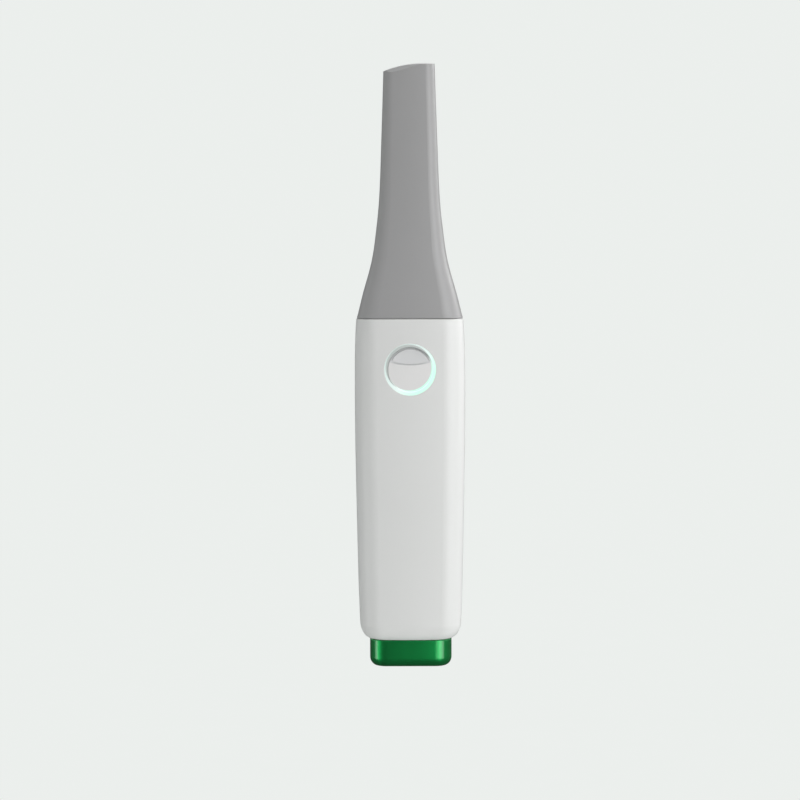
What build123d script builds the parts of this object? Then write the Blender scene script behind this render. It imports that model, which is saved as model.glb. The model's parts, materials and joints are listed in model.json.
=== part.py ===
from build123d import *
from functools import lru_cache
from math import atan, cos, radians, sin, sqrt
import os

# A wireless intraoral scanner that stands upright on its battery cap.
# Sizes are in millimetres. +Z runs from the cap to the scan tip, the button faces -Y
# and the scan window faces +Y. The origin is the centre of the cap's flat bottom.

# The stack along Z
cap_height = 10.35
seam_gap = 0.15
body_length = 121.9
sleeve_length = 96.15

# The handle body: greatest width and depth, wall, and its outline from bottom to top
body_width = 42.4
body_depth = 38.0
body_wall = 2.0
body_floor = 2.4
body_rim_chamfer = 0.45
body_height_shares = (0.0, 0.12, 0.25, 0.4, 0.55, 0.7, 0.85, 1.0)
body_width_shares = (0.902, 0.932, 0.952, 0.969, 0.985, 0.994, 0.993, 0.962)
body_depth_shares = (0.908, 0.937, 0.951, 0.968, 0.988, 0.998, 0.997, 0.926)

# The rounding of the lower end: its height, how far it draws in, and how far round its
# quarter turn each section lies
end_round_height = 6.5
end_draw_width = 4.7
end_draw_depth = 4.2
end_turn_shares = (0.89, 0.67, 0.44, 0.22, 0.0)
end_blend = 0.06

# The form of every cross-section: bowed faces, bowed sides and round corners
face_bow_share = 0.085
side_bow_share = 0.055
corner_share = 0.48
least_corner = 0.4

# The parting of the two shells, with a tongue on the rear one
parting_gap = 0.12
tongue_height = 1.3
tongue_gap = 0.08
tongue_margin = 6.0

# The clips that hold the shells together at their sides
clip_width = 5.0
clip_thickness = 1.1
clip_reach = 4.2
clip_barb = 0.6
clip_gap = 0.1
clip_root = 4.0
clip_height_shares = (0.17, 0.36, 0.55)

# The sleeve that goes into the mouth: outline from its open end to its head
sleeve_width = 40.4
sleeve_depth = 34.8
sleeve_wall = 1.6
head_shift = 0.8
sleeve_height_shares = (0.0, 0.071, 0.151, 0.23, 0.31, 0.389, 0.468, 0.667, 0.866, 0.966, 1.044)
sleeve_width_shares = (1.0, 0.914, 0.808, 0.711, 0.651, 0.606, 0.573, 0.533, 0.501, 0.486, 0.47)
sleeve_depth_shares = (1.0, 0.914, 0.805, 0.713, 0.638, 0.586, 0.552, 0.511, 0.483, 0.474, 0.471)
sleeve_shift_shares = (0.0, 0.0, 0.1, 0.25, 0.4, 0.55, 0.7, 0.9, 1.0, 1.0, 1.0)

# The head's slanted and slightly crowned end, with a bevel on its front edge
end_drop = 2.7
end_crown = 1.2
end_crown_skirt = 3.0
bevel_drop = 2.0
bevel_start_share = 0.35

# The scan window and the mirror behind it
window_margin = 0.75
window_corner = 2.2
window_rim = 1.1
window_rim_depth = 0.4
mirror_centre_drop = 15.7
mirror_side_room = 1.02
mirror_end_room = 0.59
mirror_thickness = 1.0
mirror_corner = 2.0

# The nose that carries the optics and holds the sleeve
register_gap = 0.25
nose_gap = 0.5
nose_wall = 1.5
nose_length_share = 0.651
nose_front_wall = 1.8
flange_thickness = 3.0
flange_gap = 0.15
ledge_width = 1.5
ledge_thickness = 2.0
seal_groove_height = 1.6
seal_groove_depth = 0.8
seal_groove_rise = 2.4
seal_clearance = 0.12
seal_side_gap = 0.1

# The glass at the nose's end and its gasket
glass_thickness = 1.0
gasket_thickness = 0.3
glass_edge = 1.25
glass_lap = 1.0
glass_gap = 0.05

# The screws: head radius, head height, shank radius and the play round a shank
screw_head_radius = 1.7
screw_head_height = 1.3
screw_shank_radius = 0.9
screw_hole_play = 0.15
pilot_play = 0.03
screw_socket = 0.8
screw_socket_depth = 0.7
screw_pilot_spare = 0.6

# The inner frame: battery bay, two rails and the plate below the nose
bay_wall = 1.2
bay_corner = 3.3
bay_roof = 2.5
frame_gap = 0.3
floor_gap = 0.1
rail_inner = 12.2
rail_outer = 16.6
rail_front = -2.0
rail_back = 4.0
nose_plate_thickness = 2.4
nose_plate_opening_width = 19.0
nose_plate_opening_depth = 21.0
nose_plate_opening_corner = 3.0
nose_post_radius = 2.6
nose_boss_radius = 2.4
nose_boss_x = 13.0
nose_boss_y = 9.6
nose_boss_height = 8.6
bay_window_width = 15.0
bay_window_height = 13.0
bay_window_corner = 2.5
bay_window_shares = (0.2, 0.46, 0.72)

# The posts of the rear shell that the frame is screwed to
shell_post_radius = 2.3
shell_post_x = 14.4
shell_post_gap = 0.05
shell_post_shares = (0.672, 0.883)
shell_post_grip = 5.0

# The battery pack
battery_width_share = 0.637
battery_length_share = 0.5533
battery_corner = 3.0
battery_clearance = 0.3
battery_edge = 0.8
foot_inset = 0.6
foot_depth = 5.0
foot_gap = 0.05
pack_seal_rise = 0.5
pack_seal_height = 1.2
pack_seal_depth = 0.6
pack_seal_gap = 0.15

# The cap that closes the battery bay
cap_side_margin = 2.05
cap_face_margin = 3.0
cap_corner = 6.5
cap_round_width = 2.9
cap_round_height = 3.4
cap_round_shares = (0.0, 0.12, 0.3, 0.52, 0.76, 1.0)
cap_top_chamfer = 0.3

# The contacts between the battery and the handle
contact_count = 4
contact_pitch = 3.6
contact_room = 4.0
pad_width = 2.2
pad_depth = 4.6
pad_thickness = 0.5
pad_proud = 0.1
pin_gap = 0.1
pin_radius = 0.7
pin_play = 0.03
pin_tail = 2.6
block_width = 16.0
block_depth = 7.0
block_drop = 2.2
block_flange = 2.0
block_flange_thickness = 1.4
block_play = 0.1

# The scan button and its light ring
button_plate_gap = 0.1
button_radius = 8.3
button_travel = 0.8
button_wall = 1.4
button_roof = 1.6
button_flange_radius = 9.4
button_flange_thickness = 0.8
button_stem_radius = 2.2
button_stem_drop = 0.85
scoop_rise = 1.7
scoop_edge_radius = 26.0
scoop_radius = 150.0
scoop_groove_width = 0.35
scoop_groove_depth = 0.3
scoop_groove_margin = 0.3
ring_radius = 9.7
ring_play = 0.15
ring_fit = 0.05
ring_depth = 3.2
ring_flange_radius = 11.4
ring_flange_thickness = 1.0
ring_lip = 0.1
ring_guide_radius = 9.6
ring_skirt_radius = 11.0
well_radius = 11.4

# The small board behind the button
button_board_depth = 9.5
button_board_size = 22.6
button_board_corner = 3.0
button_board_post_radius = 1.6
button_board_post_offset = 9.5
button_board_grip = 4.0
board_thickness = 1.2
led_count = 8
led_length = 1.7
led_width = 0.9
led_height = 0.8
led_gap = 0.3
switch_size = 6.2
switch_height = 3.5
switch_corner = 0.5
plunger_radius = 1.6
plunger_play = 0.06
plunger_length = 1.6
plunger_spare = 0.3

# The main board behind the battery bay, and what it carries
main_board_width = 23.4
main_board_start = 12.6
main_board_headroom = 3.8
main_board_rear_room = 0.5
main_board_corner = 1.5
main_board_standoff = 0.8
standoff_radius = 2.0
lower_standoff_x = 7.2
lower_standoff_rise = 5.0
lower_screw_grip = 1.6
upper_standoff_x = 8.4
upper_standoff_drop = 5.0
upper_screw_grip = 2.4
processor_size = 13.0
processor_height = 1.4
spreader_width = 20.0
board_part_gap = 1.0
spreader_screw_gap = 0.4
spreader_thickness = 1.6
spreader_rib_count = 5
spreader_rib_height = 1.6
spreader_rib_thickness = 1.2
radio_width = 16.0
radio_length = 6.4
radio_height = 1.8
radio_bay_gap = 1.6
radio_edge = 0.4
connector_length = 7.0
connector_width = 2.6
connector_height = 1.5
connector_gap = 1.6
connector_margin = 0.6

# The optical engine in the nose
optics_board_width = 11.6
optics_board_depth = 18.4
optics_board_gap = 0.6
chip_size = 6.4
chip_height = 1.2
barrel_radius = 3.4
barrel_wall = 0.7
barrel_headroom = 7.6
barrel_spacing = 7.6
barrel_flange_radius = 3.7
barrel_flange_thickness = 1.2
optical_shift = 0.4
carrier_rise = 7.0
carrier_thickness = 3.0
carrier_gap = 0.15
socket_wall = 0.9
socket_length = 6.0
socket_play = 0.05
lens_thickness = 2.2
lens_bulge = 0.6
lens_play = 0.04
rear_lens_share = 0.3
sink_width = 8.6
sink_depth = 13.6
sink_base = 2.0
sink_height = 8.0
sink_fin_count = 5
sink_fin_thickness = 1.0
sink_shift = 0.5

# The flat cables from the main board to the two optics boards, and their upper sockets
ribbon_width = 5.6
ribbon_thickness = 0.3
ribbon_bend = 1.2
ribbon_plate_gap = 0.6
ribbon_straight = 0.7
upper_socket_height = 1.5
upper_socket_depth = 2.2

# How far a cutting form reaches past what it cuts
overrun = 1.0

# The sleeve's sections at the top of its straight register and at the glass,
# and the body's section that sets the room behind the battery
register_station = 1
glass_station = 7
board_station = 1

# Heights and places that follow from the sizes above
body_bottom = cap_height + seam_gap
body_top = body_bottom + body_length
sleeve_bottom = body_top + seam_gap
sleeve_top = sleeve_bottom + sleeve_length
register_top = sleeve_bottom + sleeve_length * sleeve_height_shares[register_station]
flange_bottom = body_top - flange_thickness
ledge_bottom = flange_bottom - ledge_thickness
nose_top = body_top + sleeve_length * nose_length_share
cavity_bottom = body_bottom + body_floor
bay_bottom = cavity_bottom + floor_gap
rear_room = main_board_standoff + board_thickness + screw_head_height + main_board_rear_room
battery_width = body_width * battery_width_share
bay_side = body_wall + bay_wall + battery_clearance
battery_depth = body_depth * body_depth_shares[board_station] - 2 * (bay_side + rear_room)
battery_length = body_length * battery_length_share
battery_top = body_bottom + battery_length
cap_width = battery_width + 2 * cap_side_margin
cap_depth = battery_depth + 2 * cap_face_margin
bay_ceiling = battery_top + contact_room
bay_top = bay_ceiling + bay_roof
bay_inner_width = battery_width + 2 * battery_clearance
bay_inner_depth = battery_depth + 2 * battery_clearance
bay_outer_width = bay_inner_width + 2 * bay_wall
bay_outer_depth = bay_inner_depth + 2 * bay_wall
plate_top = ledge_bottom - floor_gap
plate_bottom = plate_top - nose_plate_thickness
nose_boss_top = flange_bottom + nose_boss_height
face_y = -body_depth / 2
button_z = plate_bottom - well_radius - button_plate_gap
ring_seat_y = face_y + ring_depth
ring_bore = button_radius + ring_play
button_base_y = ring_seat_y + ring_lip
button_flange_back = button_base_y + button_flange_thickness
button_stem_back = button_flange_back + button_stem_drop
button_board_y = face_y + button_board_depth
switch_front = button_board_y - switch_height
main_board_y = bay_outer_depth / 2 + main_board_standoff
main_board_bottom = body_bottom + main_board_start
main_board_top = plate_bottom - main_board_headroom
radio_bottom = bay_top + radio_bay_gap
spreader_bottom = radio_bottom + radio_length + board_part_gap
spreader_top = main_board_top - upper_standoff_drop - screw_head_radius - spreader_screw_gap
spreader_z = (spreader_bottom + spreader_top) / 2
head_half_width = sleeve_width * sleeve_width_shares[-1] / 2
head_half_depth = sleeve_depth * sleeve_depth_shares[-1] / 2
mirror_width = 2 * (head_half_width - sleeve_wall - mirror_side_room)
mirror_length = 2 * (head_half_depth - sleeve_wall - mirror_end_room) * sqrt(2)
window_width = mirror_width + 2 * window_margin
window_height = mirror_length / sqrt(2) + 2 * window_margin
barrel_bottom = nose_boss_top + board_thickness + chip_height
barrel_length = nose_top - barrel_headroom - barrel_bottom
mirror_z = sleeve_top - mirror_centre_drop
mirror_plane = Plane(origin=(0, head_shift, mirror_z), x_dir=(1, 0, 0), z_dir=(0, -1, 1))
reach = body_width + body_depth


def outline(half_width, half_depth, inset, height, shift):
    """A rounded rectangle with bowed sides, drawn inset from the outer surface."""
    across = half_width - inset
    deep = half_depth - inset
    corner_x = across - half_width * side_bow_share
    corner_y = deep - half_depth * face_bow_share
    corner = max(half_depth * corner_share - inset, least_corner)
    sides = [
        ThreePointArc((-corner_x, -corner_y), (0, -deep), (corner_x, -corner_y)),
        ThreePointArc((corner_x, -corner_y), (across, 0), (corner_x, corner_y)),
        ThreePointArc((corner_x, corner_y), (0, deep), (-corner_x, corner_y)),
        ThreePointArc((-corner_x, corner_y), (-across, 0), (-corner_x, -corner_y)),
    ]
    face = make_face(sides)
    return Pos(0, shift, height) * fillet(face.vertices(), corner)


def body_stations():
    """The half width, half depth and height of each of the body's sections, from the bottom."""
    return [
        (body_width * width / 2, body_depth * depth / 2, body_bottom + body_length * height)
        for height, width, depth in zip(body_height_shares, body_width_shares, body_depth_shares)
    ]


def body_size_at(height):
    """The body's half width and half depth at a height, read between its sections."""
    stations = body_stations()
    for (low_width, low_depth, low), (high_width, high_depth, high) in zip(stations, stations[1:]):
        if low <= height <= high:
            part = (height - low) / (high - low)
            half_width = low_width + (high_width - low_width) * part
            return half_width, low_depth + (high_depth - low_depth) * part
    return stations[-1][:2]


def body_outline(station, inset):
    """The body's section at one of its stations."""
    half_width, half_depth, height = body_stations()[station]
    return outline(half_width, half_depth, inset, height, 0)


def end_form(inset):
    """The form that rounds the body's lower end, drawn in by an inset."""
    foot_top = body_bottom + end_round_height
    half_width, half_depth = body_size_at(foot_top)
    rise = end_round_height / sin(radians(90 * end_turn_shares[0]))
    sections = []
    for share in end_turn_shares:
        turn = radians(90 * share)
        across = half_width + end_blend - end_draw_width * (1 - cos(turn))
        deep = half_depth + end_blend - end_draw_depth * (1 - cos(turn))
        sections.append(outline(across, deep, inset, foot_top - rise * sin(turn), 0))
    above = foot_top + rise * sin(radians(90 * end_turn_shares[-2]))
    sections.append(outline(half_width + end_blend, half_depth + end_blend, inset, above, 0))
    return loft(sections)


@lru_cache(maxsize=None)
def body_form(inset):
    """The body's smooth outer form with its rounded end, drawn in by an inset."""
    sides = loft([body_outline(station, inset) for station in range(len(body_stations()))])
    return sides - (slab(body_bottom - overrun, body_bottom + end_round_height) - end_form(inset))


def sleeve_outline(station, inset):
    """The sleeve's section at one station of its outline."""
    half_width = sleeve_width * sleeve_width_shares[station] / 2
    half_depth = sleeve_depth * sleeve_depth_shares[station] / 2
    height = sleeve_bottom + sleeve_length * sleeve_height_shares[station]
    return outline(half_width, half_depth, inset, height, head_shift * sleeve_shift_shares[station])


@lru_cache(maxsize=None)
def sleeve_form(inset):
    """The sleeve's smooth outer form, drawn in by an inset."""
    return loft([sleeve_outline(station, inset) for station in range(len(sleeve_height_shares))])


def register_form(inset, low, high):
    """A straight length with the sleeve's section at the top of its register."""
    section = sleeve_outline(register_station, inset)
    return Pos(0, 0, low - register_top) * extrude(section, amount=high - low)


def block(x_range, y_range, z_range):
    """A box between three pairs of limits."""
    ranges = (x_range, y_range, z_range)
    middle = [(low + high) / 2 for low, high in ranges]
    return Pos(*middle) * Box(*[high - low for low, high in ranges])


def slab(low, high):
    """A wide block between two heights."""
    return block((-reach, reach), (-reach, reach), (low, high))


def upright_rod(radius, x, y, low, high):
    """A cylinder along Z between two heights."""
    return Pos(x, y, (low + high) / 2) * Cylinder(radius, high - low)


def level_rod(radius, x, z, front, back):
    """A cylinder along Y between two depths."""
    return Pos(x, (front + back) / 2, z) * Rot(90, 0, 0) * Cylinder(radius, back - front)


def rounded_bar(width, depth, corner, low, high):
    """A rounded rectangle drawn up between two heights."""
    return Pos(0, 0, low) * extrude(RectangleRounded(width, depth, corner), amount=high - low)


def rounded_panel(width, height, corner, x, z, front, back):
    """A rounded rectangle that faces -Y, between two depths."""
    plane = Plane(origin=(x, back, z), x_dir=(1, 0, 0), z_dir=(0, -1, 0))
    return extrude(plane * RectangleRounded(width, height, corner), amount=back - front)


def screw(length):
    """A pan-head screw with its head's underside at the origin and its shank along +Z."""
    head = Pos(0, 0, -screw_head_height / 2) * Cylinder(screw_head_radius, screw_head_height)
    head = fillet(head.edges().filter_by(GeomType.CIRCLE).sort_by(Axis.Z)[0], screw_head_height / 3)
    shank = Pos(0, 0, length / 2) * Cylinder(screw_shank_radius, length)
    socket = extrude(RegularPolygon(screw_socket, 6), amount=screw_socket_depth + overrun)
    return head + shank - Pos(0, 0, -screw_head_height - overrun) * socket


def save(name, shape):
    """Write one sub-part to its own file."""
    export_step(shape, "parts/" + name + ".step")


def both_shells():
    """The body's closed wall, with its floor, nose ledge and battery opening."""
    rim_low = body_top - 2 * body_rim_chamfer
    wide = Pos(0, 0, rim_low - body_top) * body_outline(-1, -body_rim_chamfer)
    bevelled_rim = loft([wide, body_outline(-1, body_rim_chamfer)])
    outer = body_form(0) - (slab(rim_low, body_top + overrun) - bevelled_rim)
    hollow = body_form(body_wall) & slab(cavity_bottom, body_top + overrun)
    rim = body_form(body_wall) - body_form(body_wall + ledge_width)
    ledge = rim & slab(ledge_bottom, flange_bottom)
    opening = rounded_bar(
        bay_inner_width, bay_inner_depth, bay_corner, body_bottom - overrun, cavity_bottom + overrun
    )
    return outer - hollow + ledge - opening


@lru_cache(maxsize=None)
def tongue(outer_inset, height):
    """The strip inside the wall where one shell laps the other."""
    strip = body_form(outer_inset) - body_form(body_wall)
    low = cavity_bottom + tongue_margin
    return strip & block((-reach, reach), (-height, 0), (low, ledge_bottom))


def clip_places():
    """The side and height of each clip."""
    return [
        (side, body_bottom + body_length * share) for side in (-1, 1) for share in clip_height_shares
    ]


def clip_hooks():
    """The hooks on the front shell, each with a barb that points outwards."""
    hooks = []
    for side, z in clip_places():
        outer = body_size_at(z)[0]
        inner = outer - body_wall - clip_barb - clip_thickness
        arm = block(
            (inner, inner + clip_thickness),
            (-clip_root, clip_reach),
            (z - clip_width / 2, z + clip_width / 2),
        )
        barb_profile = Polyline(
            (inner, clip_reach),
            (inner + clip_thickness + clip_barb - clip_gap, clip_reach - clip_thickness),
            (inner + clip_thickness, clip_reach - clip_thickness),
            (inner, clip_reach - clip_thickness),
            close=True,
        )
        barb = Pos(0, 0, z - clip_width / 2) * extrude(make_face(barb_profile), amount=clip_width)
        root = block(
            (inner, outer),
            (-clip_root - clip_thickness, -clip_root),
            (z - clip_width / 2, z + clip_width / 2),
        )
        hook = arm + barb + root
        hooks.append(hook if side > 0 else mirror(hook, about=Plane.YZ))
    return hooks


def clip_catches():
    """The ribs on the rear shell that the barbs hook behind."""
    catches = []
    for side, z in clip_places():
        outer = body_size_at(z)[0]
        rib = block(
            (outer - body_wall - clip_barb + clip_gap, outer),
            (clip_gap, clip_reach - clip_thickness - clip_gap),
            (z - clip_width / 2, z + clip_width / 2),
        )
        catches.append(rib if side > 0 else mirror(rib, about=Plane.YZ))
    return catches


def front_shell(walls):
    """The half with the button: its well, the posts of the button board and the hooks."""
    shell = walls & block((-reach, reach), (-reach, -parting_gap / 2), (0, body_top + overrun))
    shell -= tongue(body_wall / 2 - tongue_gap, tongue_height + tongue_gap)
    limit = body_form(body_wall / 2)
    well = level_rod(well_radius, 0, button_z, face_y - overrun, ring_seat_y)
    shell += well & limit
    for x, z in button_board_places():
        shell += level_rod(button_board_post_radius, x, z, face_y - overrun, button_board_y) & limit
    for hook in clip_hooks():
        shell += hook & limit
    shell -= level_rod(ring_radius + ring_fit, 0, button_z, face_y - overrun, ring_seat_y + overrun)
    for x, z in button_board_places():
        deep = button_board_y - button_board_grip - screw_pilot_spare
        shell -= level_rod(screw_shank_radius + pilot_play, x, z, deep, button_board_y + overrun)
    return shell


def rear_shell(walls):
    """The plain half: the posts for the frame and the main board, and the catches."""
    shell = walls & block((-reach, reach), (parting_gap / 2, reach), (0, body_top + overrun))
    lap = tongue(body_wall / 2, tongue_height)
    joined = (body_form(body_wall / 2) - body_form(body_wall)) & block(
        (-reach, reach), (-overrun / 2, overrun / 2), (cavity_bottom + tongue_margin, ledge_bottom)
    )
    shell += lap + joined
    limit = body_form(body_wall / 2)
    for x, z in frame_screw_places():
        front = rail_back + shell_post_gap
        shell += level_rod(shell_post_radius, x, z, front, reach / 2) & limit
        deep = rail_back + shell_post_grip + screw_pilot_spare
        shell -= level_rod(screw_shank_radius + pilot_play, x, z, front - overrun, deep)
    for x in (-upper_standoff_x, upper_standoff_x):
        z = main_board_top - upper_standoff_drop
        back = main_board_y + board_thickness
        shell += level_rod(standoff_radius, x, z, back, reach / 2) & limit
        deep = back + upper_screw_grip + screw_pilot_spare / 2
        shell -= level_rod(screw_shank_radius + pilot_play, x, z, back - overrun, deep)
    for rib in clip_catches():
        shell += rib & limit
    return shell


def button_board_places():
    """Where the button board's four screws go."""
    return [
        (x, button_z + rise)
        for x in (-button_board_post_offset, button_board_post_offset)
        for rise in (-button_board_post_offset, button_board_post_offset)
    ]


def frame_screw_places():
    """Where the frame is screwed to the rear shell."""
    return [
        (x, body_bottom + body_length * share)
        for x in (-shell_post_x, shell_post_x)
        for share in shell_post_shares
    ]


def nose_screw_places():
    """Where the nose is screwed to the frame."""
    return [(x, y) for x in (-nose_boss_x, nose_boss_x) for y in (-nose_boss_y, nose_boss_y)]


def inner_frame():
    """One moulding: the battery bay, two rails and the plate that the nose stands on."""
    frame = rounded_bar(
        bay_outer_width, bay_outer_depth, bay_corner + bay_wall, bay_bottom, bay_top
    )
    frame -= rounded_bar(
        bay_inner_width, bay_inner_depth, bay_corner, bay_bottom - overrun, bay_ceiling
    )
    for share in bay_window_shares:
        z = bay_bottom + (bay_top - bay_bottom) * share
        frame -= rounded_panel(
            bay_window_width, bay_window_height, bay_window_corner, 0, z, -bay_outer_depth, 0
        )
    for side in (-1, 1):
        x_range = sorted((side * rail_inner, side * rail_outer))
        frame += block(x_range, (rail_front, rail_back), (bay_top - bay_roof, plate_top))
    plate = body_form(body_wall + frame_gap) & slab(plate_bottom, plate_top)
    plate -= rounded_bar(
        nose_plate_opening_width,
        nose_plate_opening_depth,
        nose_plate_opening_corner,
        plate_bottom - overrun,
        plate_top + overrun,
    )
    frame += plate
    for x, y in nose_screw_places():
        frame += upright_rod(nose_post_radius, x, y, plate_bottom, flange_bottom)
    for x, y in nose_screw_places():
        hole = screw_shank_radius + screw_hole_play
        frame -= upright_rod(hole, x, y, plate_bottom - overrun, flange_bottom + overrun)
    for x, z in frame_screw_places():
        hole = screw_shank_radius + screw_hole_play
        frame -= level_rod(hole, x, z, rail_front - overrun, rail_back + overrun)
    for x in (-lower_standoff_x, lower_standoff_x):
        z = main_board_bottom + lower_standoff_rise
        wall_y = bay_inner_depth / 2
        frame += level_rod(standoff_radius, x, z, wall_y, main_board_y)
        front = main_board_y - lower_screw_grip - battery_clearance
        frame -= level_rod(screw_shank_radius + pilot_play, x, z, front, main_board_y + overrun)
    frame -= block(
        (-block_width / 2 - block_play, block_width / 2 + block_play),
        (-block_depth / 2 - block_play, block_depth / 2 + block_play),
        (bay_ceiling - overrun, bay_top + overrun),
    )
    return frame


def contact_x():
    """The x of each battery contact."""
    middle = (contact_count - 1) / 2
    return [(place - middle) * contact_pitch for place in range(contact_count)]


def contact_block():
    """The moulded block in the bay's roof that holds the spring contacts."""
    part = block(
        (-block_width / 2, block_width / 2),
        (-block_depth / 2, block_depth / 2),
        (bay_ceiling - block_drop, bay_top + block_flange_thickness),
    )
    part += block(
        (-block_width / 2 - block_flange, block_width / 2 + block_flange),
        (-block_depth / 2 - block_flange, block_depth / 2 + block_flange),
        (bay_top, bay_top + block_flange_thickness),
    )
    for x in contact_x():
        part -= upright_rod(pin_radius + pin_play, x, 0, battery_top, bay_top + pin_tail)
    return part


def contact_pins():
    """The row of plated pins, just clear of the battery's pads."""
    low = battery_top + pad_proud + pin_gap
    high = bay_top + block_flange_thickness + pin_tail
    pins = []
    for x in contact_x():
        pin = upright_rod(pin_radius, x, 0, low, high)
        pins.append(fillet(pin.edges().filter_by(GeomType.CIRCLE), pin_radius / 3))
    return Compound(pins)


def light_ring():
    """The translucent ring: a flush face, a flange behind the well and a skirt to the lamps."""
    ring = level_rod(ring_radius, 0, button_z, face_y - overrun, ring_seat_y)
    ring = ring & body_form(0)
    flange_back = ring_seat_y + ring_flange_thickness
    ring += level_rod(ring_flange_radius, 0, button_z, ring_seat_y, flange_back)
    skirt_back = button_board_y - led_height - led_gap
    ring += level_rod(ring_skirt_radius, 0, button_z, flange_back, skirt_back)
    ring -= level_rod(ring_bore, 0, button_z, face_y - overrun, skirt_back + overrun)
    ring -= level_rod(ring_guide_radius, 0, button_z, ring_seat_y + ring_fit, skirt_back + overrun)
    return ring


def scan_button():
    """The push button: a hollow cap with a finger scoop, a flange and a stem."""
    button = level_rod(button_radius, 0, button_z, face_y - overrun, button_base_y)
    button = button & body_form(0)
    button += level_rod(button_flange_radius, 0, button_z, button_base_y, button_flange_back)
    pocket = button_radius - button_wall
    button -= level_rod(pocket, 0, button_z, face_y + button_roof, button_flange_back + overrun)
    stem_front = face_y + button_roof
    button += level_rod(button_stem_radius, 0, button_z, stem_front, button_stem_back)
    away = sqrt(scoop_radius**2 - scoop_edge_radius**2)
    scoop_centre = button_z + scoop_rise + scoop_edge_radius
    ball = Pos(0, face_y - away, scoop_centre)
    button -= ball * Sphere(scoop_radius)
    return button - (scoop_groove() & ball * Sphere(scoop_radius + scoop_groove_depth))


def scoop_groove():
    """The line round the finger scoop, cut straight back from the face."""
    disc = Circle(button_radius - scoop_groove_margin)
    scoop = disc & Pos(0, scoop_rise + scoop_edge_radius) * Circle(scoop_edge_radius)
    line = scoop - offset(scoop, -scoop_groove_width)
    back = face_y + button_roof
    plane = Plane(origin=(0, back, button_z), x_dir=(1, 0, 0), z_dir=(0, -1, 0))
    return extrude(plane * line, amount=button_roof + overrun)


def switch_plunger():
    """The pin under the button that goes down into the switch."""
    back = switch_front + plunger_length
    return level_rod(plunger_radius, 0, button_z, button_stem_back, back)


def tact_switch():
    """The push switch, with a bore that takes the plunger over its whole travel."""
    switch = block(
        (-switch_size / 2, switch_size / 2),
        (switch_front, button_board_y),
        (button_z - switch_size / 2, button_z + switch_size / 2),
    )
    switch = fillet(switch.edges().filter_by(Axis.Y), switch_corner)
    bottom = switch_front + plunger_length + button_travel + plunger_spare
    bore = level_rod(plunger_radius + plunger_play, 0, button_z, switch_front - overrun, bottom)
    return switch - bore


def button_board():
    """The board behind the button, held by four screws."""
    back = button_board_y + board_thickness
    board = rounded_panel(
        button_board_size, button_board_size, button_board_corner, 0, button_z, button_board_y, back
    )
    for x, z in button_board_places():
        hole = screw_shank_radius + screw_hole_play
        board -= level_rod(hole, x, z, button_board_y - overrun, back + overrun)
    return board


def ring_lamps():
    """The lamps on the button board, one below each part of the ring's skirt."""
    lamps = []
    radius = (ring_guide_radius + ring_skirt_radius) / 2
    for place in range(led_count):
        turn = 360 / led_count * (place + 0.5)
        lamp = Box(led_length, led_height, led_width)
        centre = Pos(0, button_board_y - led_height / 2, button_z)
        lamps.append(centre * Rot(0, turn, 0) * Pos(0, 0, radius) * lamp)
    return Compound(lamps)


def button_screws():
    """The four screws of the button board, put in from behind."""
    back = button_board_y + board_thickness
    length = board_thickness + button_board_grip
    turned = Rot(90, 0, 0) * screw(length)
    return Compound([Pos(x, back, z) * turned for x, z in button_board_places()])


def frame_screws():
    """The four screws that hold the frame to the rear shell, put in from the front."""
    length = rail_back - rail_front + shell_post_grip
    turned = Rot(-90, 0, 0) * screw(length)
    return Compound([Pos(x, rail_front, z) * turned for x, z in frame_screw_places()])


def nose_screws():
    """The four screws that hold the nose to the frame, put in from below."""
    length = nose_boss_top - screw_pilot_spare - plate_bottom
    return Compound([Pos(x, y, plate_bottom) * screw(length) for x, y in nose_screw_places()])


def main_board():
    """The long board behind the battery bay."""
    back = main_board_y + board_thickness
    middle = (main_board_bottom + main_board_top) / 2
    length = main_board_top - main_board_bottom
    board = rounded_panel(
        main_board_width, length, main_board_corner, 0, middle, main_board_y, back
    )
    for x, z in main_board_screw_places():
        hole = screw_shank_radius + screw_hole_play
        board -= level_rod(hole, x, z, main_board_y - overrun, back + overrun)
    return board


def main_board_screw_places():
    """Where the main board's screws go: two low, two high."""
    low = main_board_bottom + lower_standoff_rise
    high = main_board_top - upper_standoff_drop
    lower = [(x, low) for x in (-lower_standoff_x, lower_standoff_x)]
    return lower + [(x, high) for x in (-upper_standoff_x, upper_standoff_x)]


def main_board_screws():
    """The lower two go in from behind, the upper two from the front."""
    places = main_board_screw_places()
    from_behind = Rot(90, 0, 0) * screw(board_thickness + lower_screw_grip)
    from_front = Rot(-90, 0, 0) * screw(board_thickness + upper_screw_grip)
    back = main_board_y + board_thickness
    lower = [Pos(x, back, z) * from_behind for x, z in places[:2]]
    return Compound(lower + [Pos(x, main_board_y, z) * from_front for x, z in places[2:]])


def processor():
    """The image processor on the front of the main board."""
    front = main_board_y - processor_height
    half = processor_size / 2
    return block((-half, half), (front, main_board_y), (spreader_z - half, spreader_z + half))


def heat_spreader():
    """The ribbed metal plate on the processor."""
    back = main_board_y - processor_height
    front = back - spreader_thickness
    half = spreader_width / 2
    plate = block((-half, half), (front, back), (spreader_bottom, spreader_top))
    pitch = (spreader_width - spreader_rib_thickness) / (spreader_rib_count - 1)
    for place in range(spreader_rib_count):
        low = -half + place * pitch
        plate += block(
            (low, low + spreader_rib_thickness),
            (front - spreader_rib_height, front),
            (spreader_bottom, spreader_top),
        )
    return plate


def radio_module():
    """The screened radio on the main board, with chamfered edges."""
    can = block(
        (-radio_width / 2, radio_width / 2),
        (main_board_y - radio_height, main_board_y),
        (radio_bottom, radio_bottom + radio_length),
    )
    return chamfer(can.faces().sort_by(Axis.Y)[0].edges(), radio_edge)


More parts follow.
